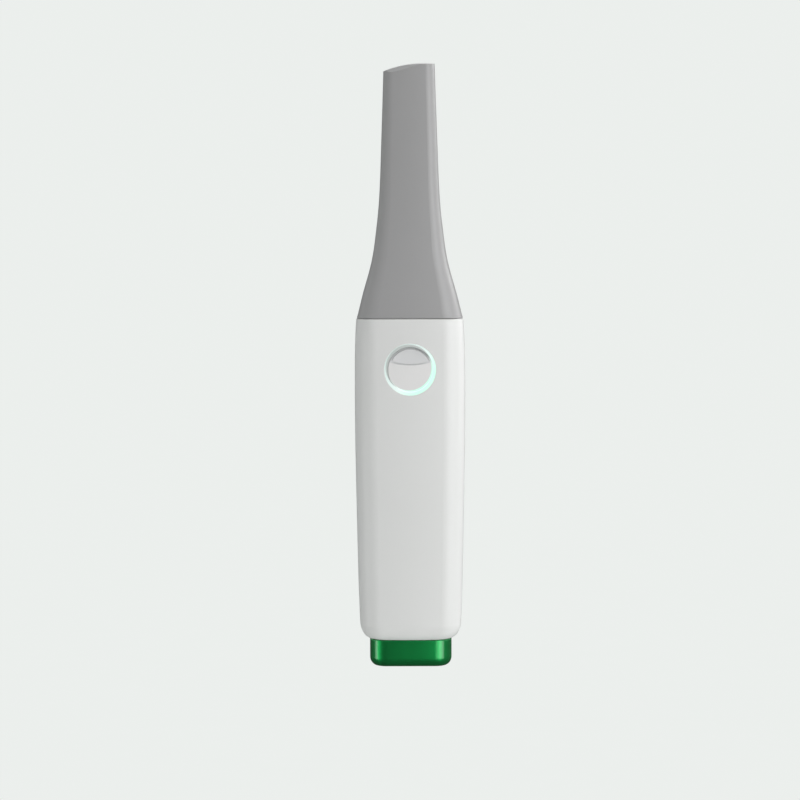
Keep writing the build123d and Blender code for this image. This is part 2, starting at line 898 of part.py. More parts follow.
def board_connectors():
    """The pair of ribbon sockets at the top of the main board."""
    low = main_board_top - connector_margin - connector_width
    sockets = []
    for side in (-1, 1):
        y_range = (main_board_y - connector_height, main_board_y)
        sockets.append(block(socket_x(side), y_range, (low, low + connector_width)))
    return Compound(sockets)


def socket_x(side):
    """The two sides of a ribbon socket, in order."""
    return sorted((side * connector_gap / 2, side * (connector_gap / 2 + connector_length)))


def optics_sockets():
    """The two ribbon sockets under the optics boards, at their rear edge."""
    back = optics_board_depth / 2
    y_range = (back - upper_socket_depth, back)
    z_range = (nose_boss_top - upper_socket_height, nose_boss_top)
    return Compound([block(socket_x(side), y_range, z_range) for side in (-1, 1)])


def ribbon(side):
    """A flat cable from a main board socket, forward through the plate and up to an optics board."""
    x = side * (connector_gap + connector_length) / 2
    low_y = main_board_y - connector_height / 2
    high_y = (optics_board_depth - upper_socket_depth) / 2
    low_z = main_board_top - connector_margin
    turn_z = low_z + ribbon_straight + ribbon_bend
    line = FilletPolyline(
        (x, low_y, low_z),
        (x, low_y, turn_z),
        (x, high_y, plate_bottom - ribbon_plate_gap),
        (x, high_y, nose_boss_top - upper_socket_height),
        radius=ribbon_bend,
    )
    start = Plane(origin=line @ 0, x_dir=(1, 0, 0), z_dir=line % 0)
    return sweep(start * Rectangle(ribbon_width, ribbon_thickness), path=line)


def nose_housing():
    """The tapered nose: a flange in the body's rim, a straight register and a cone."""
    outer_inset = sleeve_wall + nose_gap
    inner_inset = outer_inset + nose_wall
    flange = extrude(body_outline(-1, body_wall + flange_gap), amount=-flange_thickness)
    nose = flange + register_form(sleeve_wall + register_gap, flange_bottom, register_top)
    nose += sleeve_form(outer_inset) & slab(register_top, nose_top)
    nose -= register_form(inner_inset, flange_bottom - overrun, register_top)
    nose -= sleeve_form(inner_inset) & slab(register_top, nose_top - nose_front_wall)
    bosses = [
        upright_rod(nose_boss_radius, x, y, flange_bottom, nose_boss_top)
        for x, y in nose_screw_places()
    ]
    limit = register_form(outer_inset + nose_wall / 2, flange_bottom, nose_boss_top)
    for boss in bosses:
        nose += boss & limit
    for x, y in nose_screw_places():
        hole = screw_shank_radius + pilot_play
        nose -= upright_rod(hole, x, y, flange_bottom - overrun, nose_boss_top - overrun / 2)
    low = sleeve_bottom + seal_groove_rise
    core = register_form(sleeve_wall + register_gap + seal_groove_depth, low, low + seal_groove_height)
    nose -= slab(low, low + seal_groove_height) - core
    seat_low = nose_top - glass_thickness - gasket_thickness
    nose -= glass_form(outer_inset + glass_edge, seat_low, nose_top + overrun)
    nose -= glass_form(outer_inset + glass_edge + glass_lap, seat_low - nose_front_wall, nose_top)
    return nose


def glass_form(inset, low, high):
    """The straight form of the nose's end opening between two heights."""
    section = sleeve_outline(glass_station, inset)
    base = sleeve_bottom + sleeve_length * sleeve_height_shares[glass_station]
    return Pos(0, 0, low - base) * extrude(section, amount=high - low)


def nose_glass():
    """The glass that closes the nose."""
    inset = sleeve_wall + nose_gap + glass_edge + glass_gap
    return glass_form(inset, nose_top - glass_thickness, nose_top)


def glass_gasket():
    """The flat gasket below the glass."""
    inset = sleeve_wall + nose_gap + glass_edge
    high = nose_top - glass_thickness
    low = high - gasket_thickness
    return glass_form(inset + glass_gap, low, high) - glass_form(inset + glass_lap, low, high)


def nose_seal():
    """The rubber ring on the register that grips the sleeve."""
    low = sleeve_bottom + seal_groove_rise + seal_side_gap
    high = low + seal_groove_height - 2 * seal_side_gap
    inner = register_form(sleeve_wall + register_gap + seal_groove_depth, low, high)
    ring = register_form(sleeve_wall + seal_clearance, low, high)
    return ring - inner


def optics_board(side):
    """The camera's or the projector's board, standing on two of the nose's bosses."""
    near = side * optics_board_gap / 2
    far = side * (optics_board_gap / 2 + optics_board_width)
    half = optics_board_depth / 2
    return block(sorted((near, far)), (-half, half), (nose_boss_top, nose_boss_top + board_thickness))


def optics_chip(side):
    """The image sensor, or the projector's light engine, on its board."""
    x = side * barrel_spacing / 2
    half = chip_size / 2
    low = nose_boss_top + board_thickness
    return block(
        (x - half, x + half),
        (optical_shift - half, optical_shift + half),
        (low, low + chip_height),
    )


def optics_barrel(side):
    """A lens barrel: a thin tube with a flange that rests on the chip."""
    x = side * barrel_spacing / 2
    low = barrel_bottom
    tube = upright_rod(barrel_radius, x, optical_shift, low, low + barrel_length)
    tube += upright_rod(barrel_flange_radius, x, optical_shift, low, low + barrel_flange_thickness)
    bore = barrel_radius - barrel_wall
    return tube - upright_rod(bore, x, optical_shift, low - overrun, low + barrel_length + overrun)


def domed_lens():
    """A flat-backed lens that bulges towards +Z, with its back at the origin."""
    radius = barrel_radius - barrel_wall - lens_play
    ball = (radius**2 + lens_bulge**2) / (2 * lens_bulge)
    body = Pos(0, 0, lens_thickness / 2) * Cylinder(radius, lens_thickness)
    return body & Pos(0, 0, lens_thickness - ball) * Sphere(ball)


def barrel_lenses(side):
    """The front and rear lens of one barrel."""
    x = side * barrel_spacing / 2
    low = barrel_bottom
    heights = (low + barrel_length * rear_lens_share, low + barrel_length - lens_thickness)
    return Compound([Pos(x, optical_shift, z) * domed_lens() for z in heights])


def optics_carrier():
    """The machined plate, wedged in the nose's taper, that lines up both barrels."""
    low = nose_boss_top + carrier_rise
    inset = sleeve_wall + nose_gap + nose_wall + carrier_gap
    carrier = sleeve_form(inset) & slab(low, low + carrier_thickness)
    high = low + carrier_thickness + socket_length
    for side in (-1, 1):
        x = side * barrel_spacing / 2
        carrier += upright_rod(barrel_radius + socket_wall, x, optical_shift, low, high)
    for side in (-1, 1):
        x = side * barrel_spacing / 2
        bore = barrel_radius + socket_play
        carrier -= upright_rod(bore, x, optical_shift, low - overrun, high + overrun)
    return carrier


def heat_sink():
    """The finned block below the projector's board."""
    middle = optics_board_gap / 2 + optics_board_width / 2 - sink_shift
    x_range = (middle - sink_width / 2, middle + sink_width / 2)
    high = nose_boss_top
    sink = block(x_range, (-sink_depth / 2, sink_depth / 2), (high - sink_base, high))
    pitch = (sink_depth - sink_fin_thickness) / (sink_fin_count - 1)
    for place in range(sink_fin_count):
        low = -sink_depth / 2 + place * pitch
        y_range = (low, low + sink_fin_thickness)
        sink += block(x_range, y_range, (high - sink_height, high - sink_base))
    return sink


def end_height(x):
    """The height of the slanted end above a given x."""
    return sleeve_top - end_drop * (head_half_width - x) / (2 * head_half_width)


def tip_sleeve():
    """The removable sleeve: a hollow taper with a slanted blunt head and a scan window."""
    slope = atan(end_drop / (2 * head_half_width))
    outer = sleeve_form(0)
    end_plane = Plane(origin=(0, 0, end_height(0)), z_dir=(-sin(slope), 0, cos(slope)))
    crown_radius = (head_half_width**2 + end_crown**2) / (2 * end_crown)
    above_end = Pos(0, 0, reach / 2 - end_crown_skirt) * Box(reach, reach, reach)
    outer -= end_plane * (above_end - Pos(0, 0, end_crown - crown_radius) * Sphere(crown_radius))
    start_x = head_half_width * bevel_start_share
    front_y = head_shift - head_half_depth
    start = Vector(start_x, front_y, end_height(start_x))
    left = Vector(-head_half_width, front_y, end_height(-head_half_width) - bevel_drop)
    bevel_normal = Vector(0, 1, 1).cross(left - start)
    bevel_plane = Plane(origin=start, z_dir=bevel_normal)
    outer -= bevel_plane * Pos(0, 0, reach / 2) * Box(reach, reach, reach)
    sleeve = outer - register_form(sleeve_wall, sleeve_bottom - overrun, register_top)
    behind_mirror = mirror_plane * Pos(0, 0, mirror_thickness + reach / 2) * Box(reach, reach, reach)
    hollow = (sleeve_form(sleeve_wall) & slab(register_top, sleeve_top)) - behind_mirror
    sleeve -= hollow
    sleeve -= scan_opening(0)
    return sleeve - (scan_opening(window_rim) - sleeve_form(window_rim_depth))


def scan_opening(margin):
    """The form that cuts the scan window, or with a margin its sunk rim."""
    width = window_width + 2 * margin
    height = window_height + 2 * margin
    return rounded_panel(width, height, window_corner + margin, 0, mirror_z, 0, reach / 2)


def tip_mirror():
    """The mirror, bonded to the slope inside the head."""
    face = RectangleRounded(mirror_width, mirror_length, mirror_corner)
    return mirror_plane * extrude(face, amount=mirror_thickness)


def battery_pack():
    """The sealed battery pack: a foot in the cap, a seal groove and pockets for its pads."""
    pack = rounded_bar(battery_width, battery_depth, battery_corner, cap_height, battery_top)
    pack = chamfer(pack.faces().sort_by(Axis.Z)[-1].edges(), battery_edge)
    foot_width = battery_width - 2 * foot_inset
    foot_deep = battery_depth - 2 * foot_inset
    foot_corner = battery_corner - foot_inset
    pack += rounded_bar(foot_width, foot_deep, foot_corner, cap_height - foot_depth, cap_height)
    low = body_bottom + pack_seal_rise
    pack -= rounded_bar(reach, reach, battery_corner, low, low + pack_seal_height) - seal_core()
    for x in contact_x():
        pack -= pad(x)
    return pack


def seal_core():
    """The pack's section at the bottom of its seal groove."""
    low = body_bottom + pack_seal_rise
    return rounded_bar(
        battery_width - 2 * pack_seal_depth,
        battery_depth - 2 * pack_seal_depth,
        battery_corner - pack_seal_depth,
        low,
        low + pack_seal_height,
    )


def pack_seal():
    """The rubber band that keeps water out of the bay."""
    low = body_bottom + pack_seal_rise
    spread = 2 * (battery_clearance - pack_seal_gap)
    band = rounded_bar(
        battery_width + spread,
        battery_depth + spread,
        battery_corner + spread / 2,
        low,
        low + pack_seal_height,
    )
    return band - seal_core()


def pad(x):
    """One contact pad on the top of the pack."""
    high = battery_top + pad_proud
    return block(
        (x - pad_width / 2, x + pad_width / 2),
        (-pad_depth / 2, pad_depth / 2),
        (high - pad_thickness, high),
    )


def battery_pads():
    """The row of contact pads."""
    return Compound([pad(x) for x in contact_x()])


def end_cap():
    """The metal cap: a rounded bottom with a flat to stand on, and a socket for the pack."""
    sections = []
    for share in cap_round_shares:
        drop = cap_round_width * (1 - sqrt(1 - (1 - share) ** 2))
        width = cap_width - 2 * drop
        depth = cap_depth - 2 * drop
        section = RectangleRounded(width, depth, cap_corner - drop)
        sections.append(Pos(0, 0, cap_round_height * share) * section)
    cap = loft(sections)
    cap += rounded_bar(cap_width, cap_depth, cap_corner, cap_round_height, cap_height)
    cap = chamfer(cap.faces().sort_by(Axis.Z)[-1].edges(), cap_top_chamfer)
    socket_width = battery_width - 2 * foot_inset + 2 * foot_gap
    socket_deep = battery_depth - 2 * foot_inset + 2 * foot_gap
    socket_corner = battery_corner - foot_inset + foot_gap
    low = cap_height - foot_depth
    return cap - rounded_bar(socket_width, socket_deep, socket_corner, low, cap_height + overrun)


os.makedirs("parts", exist_ok=True)
walls = both_shells()
save("front_shell", front_shell(walls))
save("rear_shell", rear_shell(walls))
save("light_ring", light_ring())
save("inner_frame", inner_frame())
save("frame_screws", frame_screws())
save("contact_block", contact_block())
save("contact_pins", contact_pins())
save("button_board", button_board())
save("tact_switch", tact_switch())
save("ring_lamps", ring_lamps())
save("button_screws", button_screws())
save("main_board", main_board())
save("main_board_screws", main_board_screws())
save("processor", processor())
save("heat_spreader", heat_spreader())
save("radio_module", radio_module())
save("board_connectors", board_connectors())
save("nose_housing", nose_housing())
save("nose_screws", nose_screws())
save("nose_seal", nose_seal())
save("nose_glass", nose_glass())
save("glass_gasket", glass_gasket())
save("optics_carrier", optics_carrier())
for name, side in (("camera", -1), ("projector", 1)):
    save(name + "_board", optics_board(side))
    save(name + "_barrel", optics_barrel(side))
    save(name + "_lenses", barrel_lenses(side))
    save(name + "_ribbon", ribbon(side))
save("optics_sockets", optics_sockets())
save("image_sensor", optics_chip(-1))
save("light_engine", optics_chip(1))
save("heat_sink", heat_sink())
save("tip_sleeve", tip_sleeve())
save("tip_mirror", tip_mirror())
save("scan_button", scan_button())
save("switch_plunger", switch_plunger())
save("battery_pack", battery_pack())
save("pack_seal", pack_seal())
save("battery_pads", battery_pads())
save("end_cap", end_cap())
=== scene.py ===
import json
from math import cos, radians, sin

import bpy
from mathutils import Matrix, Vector


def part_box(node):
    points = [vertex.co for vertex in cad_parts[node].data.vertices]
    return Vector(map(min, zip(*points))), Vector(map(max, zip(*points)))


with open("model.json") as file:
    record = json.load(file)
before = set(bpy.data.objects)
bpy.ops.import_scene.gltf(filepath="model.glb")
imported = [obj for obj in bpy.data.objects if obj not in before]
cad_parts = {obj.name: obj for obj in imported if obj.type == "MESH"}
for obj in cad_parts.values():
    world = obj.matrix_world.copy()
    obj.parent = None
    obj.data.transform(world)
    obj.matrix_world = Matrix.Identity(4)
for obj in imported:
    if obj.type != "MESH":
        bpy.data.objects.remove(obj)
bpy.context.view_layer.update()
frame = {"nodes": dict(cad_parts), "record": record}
nodes = frame["nodes"]

# Sizes and places are in metres, in the scanner's own frame: it stands on its cap and its button
# faces -Y. Colours are linear red, green and blue. The scale of a noise is in cells to the metre.

# The view of the photograph: level with the handle, from a little above, with angles in degrees
AIM = Vector((-0.00365, 0.0, 0.1009))
CAMERA_DISTANCE = 1.02
CAMERA_ELEVATION = 3.5
CAMERA_ROLL = 0.18
LENS_MM = 120.0
SENSOR_MM = 36.0

# The patterns that the finishes share: grain, colour drift with flecks, and marks of handling
NOISE_MIDDLE = 0.5
ROUND_EDGE_SAMPLES = 4
GRAIN_RELIEF = 0.00005
BROAD_DRIFT = 22.0
FINE_FLECKS = 1800.0
FINGER_MARKS = 90.0
WIPING_STREAKS = (900.0, 900.0, 40.0)

# The grain and the rounded edges of blasted metal, and the spread of light in white plastic
BLASTED_GRAIN = 1800.0
BLASTED_EDGE = 0.0002
SUBSURFACE_RADIUS = (0.002, 0.002, 0.002)

# The white of the handle, the sleeve's grey, and the painted light on the blunt end of its head,
# which is painted paler where it faces up: how far down the end reaches, and between which Z of
# its normal a face turns pale
HANDLE_WHITE = (0.685, 0.685, 0.68)
SLEEVE_GREY = (0.320, 0.316, 0.320)
END_PAINTED_LIGHT = (0.84, 0.84, 0.84)
END_PALE_DEPTH = 0.008
END_LEVEL_FROM = 0.92
END_LEVEL_FULL = 0.96

# The lit ring round the button: its light lies outside a disc that is set off to the upper left,
# which leaves the ring's inner upper-left part unlit as painted shade. On the button, the same
# light is a painted glow on its rim.
# It is brightest and mint towards the bright way, and dims and turns pale towards the other side,
# in radii of the disc along that way. The spill is the faint light of the rest of the diffuser.
RING_GLOW_SHIFT = Vector((-0.00042, 0.0, 0.00069))
RING_BRIGHT_WAY = (0.80, 0.0, -0.60)
RING_DISC = 0.00862
RING_SOFTNESS = 0.00025
RING_MINT = (0.66, 1.0, 0.86)
RING_MINT_FROM = 0.2
RING_MINT_FULL = 0.95
RING_PALE = (0.86, 0.95, 0.93)
RING_DIM_FROM = -0.9
RING_DIM_UP_TO = 0.3
RING_DIM_SHARE = 0.8
RING_BASE = (0.10, 0.16, 0.14)
RING_STRENGTH = 0.9
RING_SPILL = 0.067
DIFFUSER_COLOUR = (0.50, 0.53, 0.52)
UNLIT = (0.0, 0.0, 0.0)

# The button, whose rim gets a painted glow from the ring, and the painted shade of the finger
# scoop in its upper part
BUTTON_DISC = 0.0083
BUTTON_WHITE = (0.75, 0.74, 0.74)
BUTTON_WORN = (0.82, 0.82, 0.81)
SCOOP_RISE = 0.0017
SCOOP_RADIUS = 0.026
SCOOP_SOFTNESS = 0.0003
SCOOP_PAINTED_SHADE = (0.66, 0.66, 0.67)

# The cap: its turning lines, and how strongly its wide faces fall away towards their sides
CAP_GREEN = (0.004, 0.330, 0.072)
CAP_WORN = (0.12, 0.55, 0.25)
CAP_EDGE = 0.0004
TURNING_LINES = (60.0, 60.0, 4200.0)
TURNING_STRENGTH = 0.10
TURNING_RELIEF = 0.00003
CAP_BOW = -330.0
CAP_BOW_POWER = 3.0

# The floor: pale paper well below the scanner, which hangs in the air as it does in the
# photograph. The camera sees it shaded up to the first distance from the point below the
# scanner, and in the plain studio colour from the second.
FLOOR_Z = -0.30
FLOOR_WIDTH = 24.0
FLOOR_SHADED = 0.3
FLOOR_FADED = 0.85
FLOOR_SHADE = 0.08
STUDIO_COLOUR = (0.835, 0.862, 0.842)

# A dark cloth on the floor where the camera stands. The camera itself doesn't see it.
CLOTH_START = -0.5
CLOTH_END = -1.1
CLOTH_SHADE = 0.05

# The room that lights the scanner. It is dark straight ahead and straight behind, and its
# strength falls between these two cosines of the angle to that line.
ROOM_COLOUR = (0.95, 0.97, 0.96)
ROOM_STRENGTH = 0.65
DARK_STRENGTH = 0.10
DARK_FROM = 0.62
DARK_FULL = 0.9
FORWARD = (0.0, -1.0, 0.0)

# The lamps: name, place, the point it faces, width, height and power in watts
BASE = (0.0, 0.0, 0.0)
MIDDLE = (0.0, 0.0, 0.14)
LAMPS = (
    ("key_softbox", (0.70, -0.68, 0.27), MIDDLE, 0.68, 1.1, 7.6),
    ("left_strip", (-0.582, -0.145, -0.05), BASE, 0.2, 0.3, 0.62),
    ("right_strip", (0.50, 0.22, 0.29), MIDDLE, 0.20, 0.5, 0.42),
    ("rim_softbox", (0.43, 0.36, 0.46), MIDDLE, 0.22, 0.36, 0.9),
    ("front_strip", (0.28, -0.94, -0.12), BASE, 0.16, 0.34, 0.3),
    ("top_softbox", (0.0, -0.1, 1.1), MIDDLE, 0.5, 0.5, 1.6),
)

# How far apart the nodes of a tree stand in the node editor, and the colour sockets of a Mix
# node, which has others of the same names
NODE_SPACING = 180
MIX_SHARE = 0
MIX_FIRST = 6
MIX_SECOND = 7
MIX_RESULT = 2


class Tree:
    """A node tree with short calls for adding and joining nodes. Where a call takes a value, it
    is a number, a vector, a colour or the output of another node."""

    def __init__(self, tree):
        self.tree = tree
        self.column = 0

    def add(self, kind, **settings):
        """A new node, beside the last one."""
        node = self.tree.nodes.new(kind)
        node.location = (self.column * NODE_SPACING, 0)
        self.column += 1
        for key, value in settings.items():
            setattr(node, key, value)
        return node

    def join(self, output, socket):
        self.tree.links.new(output, socket)

    def give(self, socket, value):
        """Join an output to a socket, or set the socket to a constant."""
        if isinstance(value, bpy.types.NodeSocket):
            self.join(value, socket)
        elif socket.type == "RGBA":
            socket.default_value = (*value, 1.0)
        else:
            socket.default_value = value

    def fill(self, node, **values):
        """Give values to a node's sockets by name, with _ for each space."""
        for key, value in values.items():
            self.give(node.inputs[key.replace("_", " ")], value)

    def place(self, group, **values):
        """The outputs of a node group that is placed here with its own values."""
        node = self.add("ShaderNodeGroup", node_tree=group)
        self.fill(node, **values)
        return node.outputs

    def here(self):
        """The point on the surface, in Object coordinates."""
        return self.add("ShaderNodeTexCoord").outputs["Object"]

    def split(self, vector):
        """The X, Y and Z of a vector."""
        node = self.add("ShaderNodeSeparateXYZ")
        self.fill(node, Vector=vector)
        return node.outputs

    def maths(self, operation, first, second=0.0, clamp=False):
        """The result of a sum on numbers."""
        node = self.add("ShaderNodeMath", operation=operation, use_clamp=clamp)
        self.give(node.inputs[0], first)
        self.give(node.inputs[1], second)
        return node.outputs["Value"]

    def vector_maths(self, operation, first, second=(0.0, 0.0, 0.0)):
        """The result of a sum on vectors, which is a number for a length or a dot product."""
        node = self.add("ShaderNodeVectorMath", operation=operation)
        self.give(node.inputs[0], first)
        self.give(node.inputs[1], second)
        return node.outputs["Value" if operation in ("LENGTH", "DOT_PRODUCT") else "Vector"]

    def remap(self, value, low, high, to_low=0.0, to_high=1.0):
        """A number between low and high, stretched to lie between two others."""
        node = self.add("ShaderNodeMapRange")
        self.fill(node, Value=value, From_Min=low, From_Max=high, To_Min=to_low, To_Max=to_high)
        return node.outputs["Result"]

    def mix_colour(self, share, first, second):
        """The first colour where the share is zero, and the second where it is one."""
        node = self.add("ShaderNodeMix", data_type="RGBA")
        for place, value in ((MIX_SHARE, share), (MIX_FIRST, first), (MIX_SECOND, second)):
            self.give(node.inputs[place], value)
        return node.outputs[MIX_RESULT]

    def noise(self, where, scale, detail=2.0, roughness=0.5):
        """A noise between zero and one."""
        node = self.add("ShaderNodeTexNoise")
        self.fill(node, Vector=where, Scale=scale, Detail=detail, Roughness=roughness)
        return node.outputs["Fac"]

    def drawn_noise(self, where, scales, detail=2.0):
        """A noise that is drawn out: it has its own scale along each axis."""
        mapping = self.add("ShaderNodeMapping")
        self.fill(mapping, Vector=where, Scale=scales)
        return self.noise(mapping.outputs["Vector"], scale=1.0, detail=detail)

    def swing(self, noise, amount):
        """A noise made to swing about zero by an amount."""
        return self.maths("MULTIPLY", self.maths("SUBTRACT", noise, NOISE_MIDDLE), amount)

    def round_edges(self, radius):
        """A normal that rounds the edges off."""
        node = self.add("ShaderNodeBevel", samples=ROUND_EDGE_SAMPLES)
        self.fill(node, Radius=radius)
        return node.outputs["Normal"]

    def bump(self, height, strength, distance, normal):
        """A normal that follows a height on the surface."""
        node = self.add("ShaderNodeBump")
        self.fill(node, Height=height, Strength=strength, Distance=distance, Normal=normal)
        return node.outputs["Normal"]

    def seen_directly(self, rays):
        """One for what the camera sees, also through glass, and zero for light and reflections."""
        return self.maths("MAXIMUM", rays["Is Camera Ray"], rays["Is Transmission Ray"])

    def end(self, kind, share, first, second):
        """End the tree with a mix of two shaders on its output."""
        mix = self.add("ShaderNodeMixShader")
        for place, value in enumerate((share, first, second)):
            self.join(value, mix.inputs[place])
        self.join(mix.outputs["Shader"], self.add(kind).inputs["Surface"])


def deselect():
    """Nothing stays selected before a new piece is begun."""
    for other in bpy.context.selected_objects:
        other.select_set(False)


def new_material(name):
    """An empty node material and its tree."""
    material = bpy.data.materials.new(name)
    material.use_nodes = True
    material.node_tree.nodes.clear()
    return material, Tree(material.node_tree)


def new_finish(name):
    """A node material whose output has a Principled shader, with its tree and that shader."""
    material, tree = new_material(name)
    output = tree.add("ShaderNodeOutputMaterial")
    shader = tree.add("ShaderNodeBsdfPrincipled")
    tree.join(shader.outputs["BSDF"], output.inputs["Surface"])
    return material, tree, shader


def new_group(name, inputs, outputs):
    """A node group, with its tree, the outputs of its input node and its output node. The inputs
    are given as (name, kind, value), and the outputs as (name, kind)."""
    group = bpy.data.node_groups.new(name, "ShaderNodeTree")
    sockets = group.interface
    for label, kind, value in inputs:
        socket = sockets.new_socket(name=label, in_out="INPUT", socket_type="NodeSocket" + kind)
        socket.default_value = value
    for label, kind in outputs:
        sockets.new_socket(name=label, in_out="OUTPUT", socket_type="NodeSocket" + kind)
    tree = Tree(group)
    return group, tree, tree.add("NodeGroupInput").outputs, tree.add("NodeGroupOutput")


def moulded_grain_group():
    """The fine grain of a moulded or blasted surface, as a normal with rounded edges."""
    group, tree, given, result = new_group(
        "moulded_grain",
        [("Grain Size", "Float", 2500.0), ("Depth", "Float", 0.05),
         ("Edge Radius", "Float", 0.0003)],
        [("Normal", "Vector")],
    )
    grain = tree.noise(tree.here(), given["Grain Size"], detail=3.0, roughness=0.6)
    edges = tree.round_edges(given["Edge Radius"])
    tree.fill(result, Normal=tree.bump(grain, given["Depth"], GRAIN_RELIEF, edges))
    return group


def colour_drift_group():
    """A slow, faint drift of a colour over a surface, with fine flecks."""
    group, tree, given, result = new_group(
        "colour_drift",
        [("Colour", "Color", (0.5, 0.5, 0.5, 1.0)), ("Drift", "Float", 0.04),
         ("Fleck", "Float", 0.02)],
        [("Colour", "Color")],
    )
    here = tree.here()
    broad = tree.swing(tree.noise(here, BROAD_DRIFT), given["Drift"])
    fine = tree.swing(tree.noise(here, FINE_FLECKS), given["Fleck"])
    value = tree.maths("ADD", tree.maths("ADD", broad, fine), 1.0)
    shade = tree.add("ShaderNodeHueSaturation")
    tree.fill(shade, Color=given["Colour"], Value=value)
    tree.fill(result, Colour=shade.outputs["Color"])
    return group


def handling_group():
    """A roughness with faint finger marks, and wiping streaks along the scanner."""
    group, tree, given, result = new_group(
        "handling",
        [("Roughness", "Float", 0.4), ("Amount", "Float", 0.08), ("Streak", "Float", 0.04)],
        [("Roughness", "Float")],
    )
    here = tree.here()
    marks = tree.swing(tree.noise(here, FINGER_MARKS, detail=4.0), given["Amount"])
    streaks = tree.swing(tree.drawn_noise(here, WIPING_STREAKS), given["Streak"])
    marked = tree.maths("ADD", given["Roughness"], marks)
    tree.fill(result, Roughness=tree.maths("ADD", marked, streaks, clamp=True))
    return group


def edge_wear_group():
    """A mask that is one on sharp edges and fades within the given width."""
    group, tree, given, result = new_group(
        "edge_wear",
        [("Width", "Float", 0.0005), ("Gain", "Float", 6.0), ("Breakup", "Float", 500.0)],
        [("Mask", "Float")],
    )
    breakup = tree.noise(tree.here(), given["Breakup"], detail=4.0)
    flat = tree.add("ShaderNodeNewGeometry").outputs["Normal"]
    alike = tree.vector_maths("DOT_PRODUCT", flat, tree.round_edges(given["Width"]))
    turned = tree.maths("MULTIPLY", tree.maths("SUBTRACT", 1.0, alike), given["Gain"])
    tree.fill(result, Mask=tree.maths("MULTIPLY", turned, breakup, clamp=True))
    return group


def disc_rim_group():
    """For an upright disc seen along Y: a mask that is one outside it, with a soft rim, and how
    far a point lies the ring's bright way, in radii."""
    group, tree, given, result = new_group(
        "disc_rim",
        [("Centre", "Vector", (0.0, 0.0, 0.0)), ("Radius", "Float", 0.009),
         ("Softness", "Float", 0.0002)],
        [("Outside", "Float"), ("Slant", "Float")],
    )
    offset = tree.vector_maths("SUBTRACT", tree.here(), given["Centre"])
    flat = tree.vector_maths("MULTIPLY", offset, (1.0, 0.0, 1.0))
    past = tree.maths("SUBTRACT", tree.vector_maths("LENGTH", flat), given["Radius"])
    slant = tree.vector_maths("DOT_PRODUCT", flat, RING_BRIGHT_WAY)
    tree.fill(
        result,
        Outside=tree.maths("DIVIDE", past, given["Softness"], clamp=True),
        Slant=tree.maths("DIVIDE", slant, given["Radius"]),
    )
    return group


moulded_grain = moulded_grain_group()
colour_drift = colour_drift_group()
handling = handling_group()
edge_wear = edge_wear_group()
disc_rim = disc_rim_group()


def paler(colour, gain, lift):
    """The colour of a worn edge."""
    return tuple(min(1.0, part * gain + lift) for part in colour)


def worn_colour(tree, colour, worn, drift, fleck, **wear):
    """A colour that drifts over the surface and changes to the worn one on its edges."""
    drifted = tree.place(colour_drift, Colour=colour, Drift=drift, Fleck=fleck)
    return tree.mix_colour(tree.place(edge_wear, **wear)["Mask"], drifted["Colour"], worn)


def plastic(name, colour, roughness, depth, drift=0.04, coat=0.0, coat_roughness=0.08,
            subsurface=0.0, painted_light=None):
    """A moulded plastic: drifted colour, worn edges, handled roughness and grain of a given
    depth. A painted light, where given, makes its colour paler at some place."""
    material, tree, shader = new_finish(name)
    worn = paler(colour, gain=1.12, lift=0.01)
    base = worn_colour(tree, colour, worn, drift, fleck=0.02)
    tree.fill(
        shader,
        Base_Color=painted_light(tree, base) if painted_light else base,
        Roughness=tree.place(handling, Roughness=roughness)["Roughness"],
        Normal=tree.place(moulded_grain, Depth=depth)["Normal"],
        Coat_Weight=coat,
        Coat_Roughness=coat_roughness,
        Subsurface_Weight=subsurface,
        Subsurface_Radius=SUBSURFACE_RADIUS,
    )
    return material


def metal(name, colour, roughness, depth=0.05):
    """A blasted metal: faint colour drift, brighter edges, handled roughness and grain of a
    given depth."""
    material, tree, shader = new_finish(name)
    worn = paler(colour, gain=1.4, lift=0.02)
    rough = tree.place(handling, Roughness=roughness, Amount=0.08, Streak=0.06)
    grain = tree.place(moulded_grain, Grain_Size=BLASTED_GRAIN, Depth=depth,
                       Edge_Radius=BLASTED_EDGE)
    tree.fill(
        shader,
        Base_Color=worn_colour(tree, colour, worn, drift=0.08, fleck=0.05, Width=0.0003,
                               Gain=5.0),
        Roughness=rough["Roughness"],
        Normal=grain["Normal"],
        Metallic=1.0,
    )
    return material


def glass(name, tint):
    """Clear optical glass with faint wipe marks in its roughness."""
    material, tree, shader = new_finish(name)
    tree.fill(
        shader,
        Base_Color=tree.place(colour_drift, Colour=tint, Drift=0.02, Fleck=0.0)["Colour"],
        Roughness=tree.place(handling, Roughness=0.0, Amount=0.03, Streak=0.02)["Roughness"],
        Transmission_Weight=1.0,
        IOR=1.5,
    )
    return material


def painted_light_on_end(tree, colour):
    """Painted light on the sleeve: the blunt end of its head is painted paler where it faces up.
    """
    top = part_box("tip_sleeve")[1].z
    facing = tree.split(tree.add("ShaderNodeTexCoord").outputs["Normal"])["Z"]
    level = tree.remap(facing, END_LEVEL_FROM, END_LEVEL_FULL)
    high = tree.remap(tree.split(tree.here())["Z"], top - END_PALE_DEPTH,
                      top - END_PALE_DEPTH / 2)
    return tree.mix_colour(tree.maths("MULTIPLY", level, high), colour, END_PAINTED_LIGHT)


ring_low, ring_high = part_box("light_ring")
ring_centre = Vector(((ring_low.x + ring_high.x) / 2, 0.0, (ring_low.z + ring_high.z) / 2))


